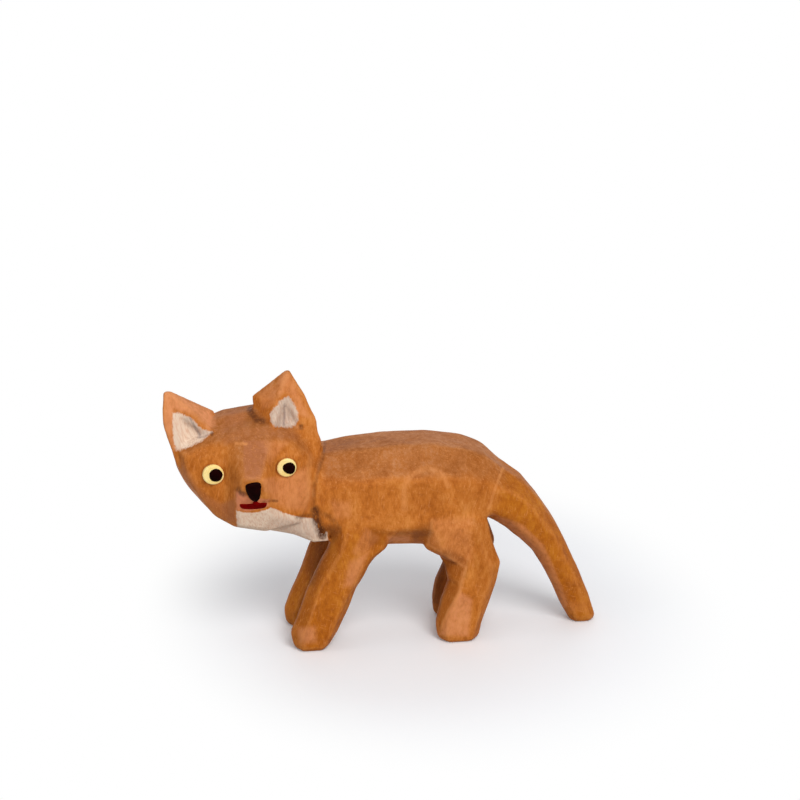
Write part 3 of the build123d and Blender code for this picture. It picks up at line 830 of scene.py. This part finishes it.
        (3.5, 0.45, [(-24.8, 61.0), (-24.8, 55.5)]),
        (2.2, 0.4, [(-25.0, 29.3), (-18.5, 28.0)]),
    ],
    "shadeFreeSpan": (-12, 5),  # along the fox, where the throat's lines of painted shade don't run on over the shoulder
    # a ring of painted shade round each eye's rim
    "eyeShadeRing": {"width": 0.7, "strength": 0.4},
    "liningSoftness": 0.55,  # below 1 the border of the ears' paint gets broader than the chin's
    # how far a face turns to the camera's direction, to the shown flank and up where paint may lie
    "frontSeen": 0.1,
    "frontTurn": -0.25,
    "chinSeen": -0.1,
    "belowTurn": -0.5,
    "belowHeight": 39,
    "bare": -9,  # stands for far outside every painted outline
}


def paintFields():
    back = towards(camera["azimuth"], camera["elevation"])
    flat, facing = onSheet(points), towardsSheet(normals)
    label = np.argmax(shares, 1)
    names = list(woodPieces)
    onHead = np.isin(label, [names.index(name) for name in ("head", "left_ear", "right_ear")])
    front = onHead & (normals @ back > paint["frontSeen"]) & (normals[:, 1] < paint["frontTurn"])

    def tones(kind):
        amount = np.zeros(len(points))
        for strength, soft, outline in paint[kind]:
            inside = 1 - fade(outlineDistance(flat, outline), -soft, soft)
            amount = np.maximum(amount, strength * inside)
        return amount * facing

    def lines(kind):
        amount = np.zeros(len(points))
        for width, strength, line in paint[kind]:
            along = nearLine(flat, line, width, paint["lineBorder"])
            amount = np.maximum(amount, strength * along)
        return amount * facing

    bare = paint["bare"]
    linings = [outlineDistance(flat, paint[side + "EarLining"]) for side in ("right", "left")]
    linings = np.where(front, paint["liningSoftness"] * np.maximum(*linings), bare)
    chin = np.where(normals @ back > paint["chinSeen"], outlineDistance(flat, paint["chin"]), bare)
    below = (fields["upward"] < paint["belowTurn"]) & (points[:, 2] < paint["belowHeight"])
    under = np.where(below, outlineDistance(points[:, :2], paint["underChin"]), bare)
    chin = np.where(label == names.index("head"), np.maximum(chin, under), bare)
    # painted shade round the eyes
    width = paint["eyeShadeRing"]["width"]
    ring = np.maximum(*(fade(rimDistance(points, side), 0, width) for side in ("left", "right")))
    start, end = paint["shadeFreeSpan"]
    # painted shade lines, kept off the shoulder
    burnt = lines("burnt") * ((points[:, 0] < start) | (points[:, 0] > end))
    return {
        "cream": np.maximum(linings, chin),
        "lips": np.where(front, outlineDistance(flat, paint["lips"]), bare),
        "rosy": tones("rosy"),
        "pale": tones("pale"),
        "umber": tones("umber"),
        "worn": lines("worn"),
        "burnt": np.maximum(burnt, paint["eyeShadeRing"]["strength"] * ring * front),
        "grey": lines("grey") * onHead,
    }


fields.update(paintFields())
# deeper stain on the legs and tail, which on the far legs is painted shade too
soaked = np.array([habit["soaked"] for habit in woodPieces.values()])
fields["soaked"] = blurred(shares, quads, carving["soakAndShadeSteps"]) @ soaked
print("painted places found")


def makeMesh(name, places, faces):
    mesh = bpy.data.meshes.new(name)
    mesh.from_pydata((places * mm).tolist(), [], faces)
    mesh.polygons.foreach_set("use_smooth", np.ones(len(faces), bool))
    piece = bpy.data.objects.new(name, mesh)
    bpy.context.scene.collection.objects.link(piece)
    return piece


def addField(piece, name, values):
    field = piece.data.attributes.new(name, "FLOAT", "POINT")
    field.data.foreach_set("value", np.asarray(values, dtype=np.float32))


def openLoops(own):
    # the edges where a piece is glued to others, one list for each joint
    pairs = np.stack([own.ravel(), np.roll(own, -1, 1).ravel()], 1).tolist()
    known = {tuple(pair) for pair in pairs}
    edges = [(a, b) for a, b in pairs if (b, a) not in known]
    group = {}

    def leader(i):
        while group.setdefault(i, i) != i:
            i = group[i]
        return i

    for a, b in edges:
        group[leader(a)] = leader(b)
    loops = {}
    for a, b in edges:
        loops.setdefault(leader(a), []).append((a, b))
    return list(loops.values())


def partedPiece(name, number, faceLabel):
    # each joint is closed by a fan from its middle, which is left bare of paint
    own = quads[faceLabel == number]
    loops = openLoops(own)
    used, faces = np.unique(own, return_inverse=True)
    faces = faces.reshape(-1, 4).tolist()
    middles = [points[np.unique(loop)].mean(0) for loop in loops]
    new = {old: i for i, old in enumerate(used.tolist())}
    for k, loop in enumerate(loops):
        faces += [(new[b], new[a], len(used) + k) for a, b in loop]
    places = np.concatenate([points[used], np.array(middles).reshape(-1, 3)])
    piece = makeMesh("carved_" + name, places, faces)
    for key, values in fields.items():
        unpainted = -1.0 if key in ("cream", "lips") else 0.0
        addField(piece, key, np.append(values[used], [unpainted] * len(middles)))
    shading = np.concatenate([normals[used], np.tile((0.0, 0.0, 1.0), (len(middles), 1))])
    piece.data.normals_split_custom_set_from_vertices(shading.tolist())
    return piece


carved = {}
faceLabel = np.argmax(shares[quads].sum(1), 1)
for number, name in enumerate(woodPieces):
    carved[name] = partedPiece(name, number, faceLabel)
    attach(carved[name], "root")
    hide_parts(name)
print("carved pieces ride on the frame")


stain = {
    "ramp": [(0.38, tint(164, 86, 18)), (0.5, tint(194, 112, 40)), (0.63, tint(217, 139, 68))],
    # colour of the painted mauve sheen from above
    "rosy": tint(168, 102, 64),
    # colour of the painted highlights
    "pale": tint(226, 150, 102),
    "worn": tint(222, 148, 86),
    # colour of painted shade, in dark lines and creases
    "burnt": tint(80, 38, 12),
    # what the colour is multiplied by: on faces that look up, as painted shade with a painted bluish sheen;
    # where the stain soaked in, which on the far legs is painted shade too; and in patches of painted shade
    "top": (0.6, 0.7, 1.55, 1.0),
    "soaked": (0.82, 0.74, 0.16, 1.0),
    "umber": (0.66, 0.6, 0.5, 1.0),
    "cream": tint(232, 208, 186),
    # colour of the painted shade on the white paint
    "grey": tint(150, 128, 120),
    "lips": tint(226, 140, 112),
    # noise: its stretch for each mm, how fine and how twisted it is, and how it leans, in radians
    "patterns": {
        "blotches": {"stretch": (0.16, 0.16, 0.1), "distortion": 0.3},
        "mottle": {"stretch": (0.9, 0.9, 0.5), "detail": 4.0, "roughness": 0.6},
        "strokes": {"stretch": (2.4, 2.4, 0.4), "roughness": 0.6, "distortion": 0.3, "turn": 0.25},
        "crossed": {"stretch": (2.8, 2.8, 0.45), "roughness": 0.6, "distortion": 0.3, "turn": -0.4},
        "fibres": {"stretch": (0.2, 3.4, 3.4), "detail": 4.0, "roughness": 0.65},
        "scratches": {"stretch": (3.6, 3.6, 0.4), "detail": 2.0, "distortion": 0.5, "turn": -0.2},
        "slanted": {"stretch": (3.2, 3.2, 0.35), "detail": 2.0, "distortion": 0.5, "turn": 1.2},
        "ragged": {"stretch": (1.6, 1.6, 0.8), "detail": 4.0, "roughness": 0.65},
    },
    # what makes the stain lighter or darker within the ramp
    "level": {
        "blotches": 0.3,
        "mottle": 0.33,
        "strokes": 0.17,
        "crossed": 0.12,
        "fibres": 0.08,
        "strokeTone": 0.06,
        "broadTone": 0.03,
    },
    "levelShift": -0.045,
    "strength": {
        "top": 0.82,
        "topOnSoaked": 0.22,
        "rosy": 0.8,
        "pale": 0.9,
        "worn": 0.8,
        "edges": 0.2,
        "scratches": 0.35,
        "slanted": 0.3,
        "hollow": 0.4,
        "lips": 0.5,
    },
    # where each part sets in and is full, and for some also its least and its full strength
    "borders": {
        "rub": (0.3, 0.6, 0.6, 1.0),
        "top": (0.4, 1.15),
        "edges": (0.5, 1.2),
        "scratches": (0.58, 0.7),
        "slanted": (0.6, 0.72),
        "hollow": (0.35, 1.0),
        "lips": (-0.3, 0.35),
        "cream": (-0.15, 0.2),
        "thin": (0.3, 0.62, 0.62, 1.0),
        "grey": (0.3, 0.6, 0.5, 1.0),
        "burnt": (0.25, 0.6, 0.3, 1.0),
    },
    "roughness": 0.54,
    "shine": 0.14,
    "bumpStrength": 0.35,
    "bumpDepth": 0.05,
}


def stainedWood():
    wood = Finish(bpy.data.materials.new("stainedWood"))
    on = {name: wood.noise(**pattern) for name, pattern in stain["patterns"].items()}
    on.update({name: wood.attribute(name) for name in fields})
    strength = stain["strength"]
    level = stain["levelShift"]
    for name, share in stain["level"].items():
        level = level + share * on[name]
    colour = wood.node("ShaderNodeValToRGB", {"stops": stain["ramp"]}, {"Fac": level})

    def part(name, value):
        return wood.between(value, *stain["borders"][name])

    # how the stain took in the wood, with patches of painted light and shade laid over it, broken up by the
    # mottle
    rub = part("rub", on["mottle"])
    colour = wood.mixed(on["soaked"], colour, stain["soaked"], "MULTIPLY")
    # painted shade and a painted bluish sheen on faces that look up, weaker on the more soaked pieces
    upwardShade = part("top", on["upward"] + 0.5 * on["mottle"])
    topLess = strength["top"] - strength["topOnSoaked"]
    topShare = (strength["top"] - topLess * on["soaked"]) * upwardShade
    colour = wood.mixed(topShare, colour, stain["top"], "MULTIPLY")
    # patches of painted mauve sheen and painted highlights
    for name in ("rosy", "pale"):
        colour = wood.mixed(strength[name] * on[name] * rub, colour, stain[name])
    # patches of painted shade, multiplied in
    colour = wood.mixed(on["umber"] * rub, colour, stain["umber"], "MULTIPLY")

    # wear on edges and knife scratches, and painted shade in creases
    edges = part("edges", 0.35 * on["relief"] + on["crease"] + 0.5 * on["mottle"])
    scratches, slanted = part("scratches", on["scratches"]), part("slanted", on["slanted"])
    wear = strength["edges"] * edges + strength["scratches"] * scratches + strength["slanted"] * slanted
    colour = wood.mixed(wear, colour, stain["worn"])
    colour = wood.mixed(strength["worn"] * on["worn"] * rub, colour, stain["worn"])
    # painted shade in creases and hollows
    hollow = part("hollow", 0.3 * on["mottle"] - on["crease"])
    colour = wood.mixed(strength["hollow"] * hollow, colour, stain["burnt"])

    # paint, with ragged borders where the brush ran out, and painted shade laid on with the same ragged
    # borders
    lips = part("lips", on["lips"] + 1.4 * on["ragged"] - 0.7)
    colour = wood.mixed(strength["lips"] * lips, colour, stain["lips"])
    cream = part("cream", on["cream"] + 0.9 * on["ragged"] - 0.45)
    thin = part("thin", on["strokes"])
    colour = wood.mixed(cream * thin, colour, stain["cream"])
    # painted shade on the white paint
    grey = on["grey"] * part("grey", on["ragged"]) * cream
    colour = wood.mixed(grey, colour, stain["grey"])
    # painted shade lines
    burnt = on["burnt"] * part("burnt", on["ragged"])
    colour = wood.mixed(burnt, colour, stain["burnt"])

    roughness = stain["roughness"] + 0.14 * on["fibres"] - 0.08 * on["mottle"] + 0.1 * cream
    height = 0.45 * on["fibres"] + 0.35 * on["strokes"] + 0.2 * on["ragged"]
    bump = wood.bump(height, stain["bumpStrength"], stain["bumpDepth"])
    return wood.coat(colour, roughness, bump, stain["shine"])


woodMaterial = stainedWood()
for piece in carved.values():
    piece.data.materials.append(woodMaterial)
print("wood stained")


# Eyes, pupils, nose and mouth. Lengths in mm.
# Heights are (share drawn in to the middle, height over the wood).
insets = {
    "eye": {
        "radius": {"left": 2.45, "right": 2.65},
        "uneven": 0.05,
        "heights": [
            (0, -1.2), (0, 0.08), (0.025, 0.2), (0.07, 0.29), (0.14, 0.33), (0.28, 0.355), (0.45, 0.37),
            (0.65, 0.38), (0.85, 0.385),
        ],
    },
    "pupil": {
        "radius": {"left": 1.58, "right": 1.72},
        "aside": 0.6,
        "lower": 0.05,
        "uneven": 0.06,
        "heights": [
            (0, 0.1), (0, 0.38), (0.04, 0.5), (0.1, 0.58), (0.2, 0.64), (0.35, 0.69), (0.55, 0.72),
            (0.8, 0.735),
        ],
    },
    "nose": {
        "outline": [
            (-1.95, 1.7), (-1.9, 2.4), (-1.4, 2.85), (-0.4, 3.15), (0.9, 3.2), (1.7, 2.85), (2.0, 2.0),
            (1.95, 0.9), (1.9, -0.6), (1.7, -1.8), (1.2, -2.7), (0.4, -2.9), (-0.6, -2.15),
            (-1.25, -0.95), (-1.75, 0.4),
        ],
        "spine": [(0.0, 1.3), (0.35, -0.6)],
        "heights": [
            (0, -1.5), (0, 0.1), (0.05, 0.36), (0.14, 0.55), (0.28, 0.68), (0.45, 0.75), (0.7, 0.79),
            (0.9, 0.8),
        ],
    },
    "mouth": {
        "outline": [
            (-3.2, 0.7), (-3.1, -0.2), (-2.4, -0.85), (-0.7, -1.15), (1.2, -1.15), (2.9, -0.95),
            (3.4, -0.3), (3.5, 0.6), (2.4, 0.66), (1.5, 0.8), (1.0, 1.35), (0.3, 1.35), (-0.3, 0.6),
            (-2.0, 0.6),
        ],
        "spine": [(-2.2, -0.1), (2.4, -0.15)],
        "heights": [(0, -1.2), (0, -0.1), (0.1, 0.0), (0.25, 0.06), (0.5, 0.1), (0.8, 0.11)],
    },
}


# the waves left by the knife on the insets' rounded tops
ripple = {"height": 0.012, "across": 2.1, "shift": 1.3, "up": 2.7, "from": 0.3}


def smoothRing(outline, steps=10):
    # a soft closed curve through given points
    outline = np.array(outline, float)
    before, after, later = (np.roll(outline, shift, 0) for shift in (1, -1, -2))
    ring = []
    for p0, p1, p2, p3 in zip(before, outline, after, later):
        for t in np.arange(steps) / steps:
            bend, twist = 2 * p0 - 5 * p1 + 4 * p2 - p3, 3 * p1 - p0 - 3 * p2 + p3
            ring.append(0.5 * (2 * p1 + (p2 - p0) * t + bend * t ** 2 + twist * t ** 3))
    return np.array(ring)


def handRound(radius, uneven, steps=96):
    # a circle as a hand paints it
    turn = np.arange(steps) / steps * 2 * math.pi
    wobble = sum(rng.normal(0, uneven / k) * np.cos(k * turn + rng.uniform(0, 6.3)) for k in (2, 3, 4, 5))
    return np.stack([np.cos(turn), np.sin(turn)], 1) * (radius + wobble)[:, None]


def pebble(name, ring, spine, heights, origin, outward):
    # a closed rounded form, whose rings draw in from the outline to its spine
    start, edge = np.array(spine[0], float), np.subtract(spine[-1], spine[0])
    share = np.clip((ring - start) @ edge / max(edge @ edge, 1e-9), 0, 1)
    inner = start + share[:, None] * edge
    up = np.cross(outward, (1.0, 0, 0))
    up = up if up[2] > 0 else -up
    right = np.cross(up, outward)
    places, faces, count = [], [], len(ring)
    for drawn, height in heights:
        flat = ring + (inner - ring) * drawn
        wave = ripple["height"] * np.sin(flat[:, 0] * ripple["across"] + ripple["shift"])
        wave = wave * np.cos(flat[:, 1] * ripple["up"]) * (height > ripple["from"])
        lifted = (height + wave)[:, None] * outward
        places.append(origin + flat[:, :1] * right + flat[:, 1:] * up + lifted)
    for k in range(len(heights) - 1):
        for i in range(count):
            j = (i + 1) % count
            faces.append((k * count + i, k * count + j, (k + 1) * count + j, (k + 1) * count + i))
    places = np.concatenate(places)
    top = len(places) - count
    faces.append(tuple(range(top, top + count)))
    faces.append(tuple(reversed(range(count))))
    piece = makeMesh(name, places, faces)
    work = bmesh.new()
    work.from_mesh(piece.data)
    bmesh.ops.recalc_face_normals(work, faces=work.faces)
    work.to_mesh(piece.data)
    work.free()
    return piece


def setIn(node, material, piece):
    piece.data.materials.append(material)
    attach(piece, "root")
    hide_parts(node)


# main colour, drift and specks, and the gloss
enamels = {
    "eyeYellow": {
        "colours": [tint(254, 232, 160), tint(250, 220, 136), tint(222, 184, 98)],
        "roughness": 0.35,
        "shine": 0.3,
    },
    "blackGloss": {
        "colours": [tint(26, 2, 2), tint(14, 2, 1), tint(40, 10, 7)],
        "roughness": 0.4,
        "shine": 0.015,
    },
    "mouthRed": {
        "colours": [tint(120, 1, 1), tint(92, 1, 1), tint(154, 14, 10)],
        "roughness": 0.55,
        "shine": 0.02,
    },
}


def enamel(name):
    # gloss paint laid on by hand, a little uneven in colour and in thickness
    main, second, third = enamels[name]["colours"]
    paintCoat = Finish(bpy.data.materials.new(name))
    drift = paintCoat.noise((0.45, 0.45, 0.45), detail=3.0)
    brush = paintCoat.noise((1.2, 3.5, 3.0), detail=3.0, roughness=0.6)
    specks = paintCoat.noise((4.0, 4.0, 4.0), detail=2.0)
    colour = paintCoat.mixed(paintCoat.between(drift, 0.35, 0.65), main, second)
    colour = paintCoat.mixed(0.6 * paintCoat.between(specks, 0.6, 0.72), colour, third)
    bump = paintCoat.bump(0.6 * brush + 0.4 * specks, 0.3, 0.04)
    roughness = enamels[name]["roughness"] + 0.15 * brush
    return paintCoat.coat(colour, roughness, bump, enamels[name]["shine"])


def makeInsets():
    yellow, black, red = (enamel(name) for name in enamels)
    for side in ("left", "right"):
        outward, level = facePlane(side)
        low, high = boxOf(side + "_eye")
        origin = np.array([(low[0] + high[0]) / 2, -level, (low[2] + high[2]) / 2])
        eye, pupil = insets["eye"], insets["pupil"]
        rim = handRound(eye["radius"][side], eye["uneven"])
        disc = pebble(side + "_eye_disc", rim, [(0, 0)], eye["heights"], origin, outward)
        setIn(side + "_eye", yellow, disc)
        rim = handRound(pupil["radius"][side], pupil["uneven"])
        origin = origin + (pupil["aside"], 0, -pupil["lower"])
        dot = pebble(side + "_pupil_dot", rim, [(0, 0)], pupil["heights"], origin, outward)
        setIn(side + "_pupil", black, dot)
    outward, level = muzzlePlane()
    for node, slotName, material in (("nose", "black_gloss", black), ("mouth", "mouth_red", red)):
        low, high = boxOf(node)
        middle = (low + high) / 2
        origin = middle + (level - middle @ outward) * outward
        shape = insets[node]
        rim = smoothRing(shape["outline"])
        plug = pebble(node + "_plug", rim, shape["spine"], shape["heights"], origin, outward)
        setIn(node, material, plug)


makeInsets()
print("eyes, nose and mouth set")


def bareWood():
    wood = Finish(bpy.data.materials.new("bareWood"))
    grain = wood.noise((0.25, 2.2, 0.6), detail=5.0, roughness=0.6)
    flecks = wood.noise((1.2, 6.0, 3.0), detail=2.0)
    colour = wood.mixed(wood.between(grain, 0.3, 0.7), tint(196, 158, 112), tint(222, 190, 146))
    colour = wood.mixed(0.5 * wood.between(flecks, 0.6, 0.7), colour, tint(150, 108, 66))
    return wood.coat(colour, 0.55 + 0.2 * grain, wood.bump(grain, 0.3, 0.05), 0.3)


pinWood = bareWood()
for name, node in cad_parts.items():
    if name.endswith(("dowel", "peg")):
        for materialSlot in node.material_slots:
            materialSlot.material = pinWood
print("pins finished")


# A white table, which keeps the fox's shadow and turns to plain white further off. Lengths in mm.
stage = {
    "half": 6000,
    "floorColour": tint(249, 251, 255),
    "lift": 0.06,  # how much of the table shows plain white even close by
    "whiteFrom": 42,
    "whiteTo": 80,
    "whiteMiddle": (16, 15, 0),
    "whiteShape": (1.0, 0.8, 1.0),
    "bounceColour": tint(176, 174, 172),
    "worldColour": (0.98, 0.99, 1, 1),
    "worldStrength": 0.45,
    "lampAim": (0, 0, 30),
    "lamps": {
        "key": {
            "azimuth": 16, "elevation": 48, "distance": 900, "size": 420,
            "power": 3.85, "colour": (1, 0.985, 0.96),
        },
        "side": {
            "azimuth": -80, "elevation": 38, "distance": 900, "size": 260,
            "power": 0.4, "colour": (0.97, 0.98, 1),
        },
        "front": {
            "azimuth": 2, "elevation": 15, "distance": 1000, "size": 800,
            "power": 2.8, "colour": (1, 0.99, 0.98),
        },
        "back": {
            "azimuth": 165, "elevation": 40, "distance": 1000, "size": 700,
            "power": 1.1, "colour": (1, 1, 1),
        },
    },
}


def seenDirectly(finish):
    # 1 where the camera looks straight, in a mirror or through glass
    rays = finish.node("ShaderNodeLightPath", output="Is Camera Ray")
    rays = rays + finish.node("ShaderNodeLightPath", output="Is Glossy Ray")
    rays = rays + finish.node("ShaderNodeLightPath", output="Is Transmission Ray")
    return finish.node("ShaderNodeClamp", {}, {"Value": rays})


def makeFloor():
    corners = stage["half"] * np.array([(-1, -1, 0), (1, -1, 0), (1, 1, 0), (-1, 1, 0)], float)
    floor = makeMesh("floor", corners, [(0, 1, 2, 3)])
    paper = Finish(bpy.data.materials.new("floorPaper"))
    seen = seenDirectly(paper)
    # what the table throws back on the fox is darker than what the camera sees of it
    colour = paper.mixed(seen, stage["bounceColour"], stage["floorColour"])
    lit = paper.principled(Base_Color=colour, Roughness=0.9, Specular_IOR_Level=0.1)
    white = paper.node("ShaderNodeEmission", {}, {"Color": (1, 1, 1, 1), "Strength": 1.0})
    inputs = {0: paper.place(), 1: stage["whiteMiddle"]}
    away = paper.node("ShaderNodeVectorMath", {"operation": "SUBTRACT"}, inputs)
    away = paper.scaled(away, stage["whiteShape"])
    away = paper.node("ShaderNodeVectorMath", {"operation": "LENGTH"}, {0: away}, output="Value")
    share = paper.between(away, stage["whiteFrom"], stage["whiteTo"], stage["lift"], 1.0) * seen
    shader = paper.node("ShaderNodeMixShader", {}, {0: share, 1: lit, 2: white})
    floor.data.materials.append(paper.surface(shader))


def makeLamps():
    for name, lamp in stage["lamps"].items():
        back = towards(lamp["azimuth"], lamp["elevation"])
        light = bpy.data.lights.new(name, "AREA")
        light.shape = "DISK"
        light.size = lamp["size"] * mm
        light.energy = lamp["power"]
        light.color = lamp["colour"]
        aimed(bpy.data.objects.new(name, light), back * lamp["distance"] + stage["lampAim"], back)


def makeWorld():
    bpy.context.scene.world = bpy.data.worlds.new("studio")
    sky = Finish(bpy.context.scene.world)
    settings = {"Color": stage["worldColour"], "Strength": stage["worldStrength"]}
    light = sky.node("ShaderNodeBackground", {}, settings)
    seen = sky.node("ShaderNodeBackground", {}, {"Color": (1, 1, 1, 1), "Strength": 1.0})
    mix = sky.node("ShaderNodeMixShader", {}, {0: seenDirectly(sky), 1: light, 2: seen})
    sky.surface(mix, "ShaderNodeOutputWorld")


makeFloor()
makeLamps()
makeWorld()
bpy.context.scene.view_settings.view_transform = "Standard"
print("table and lamps set")
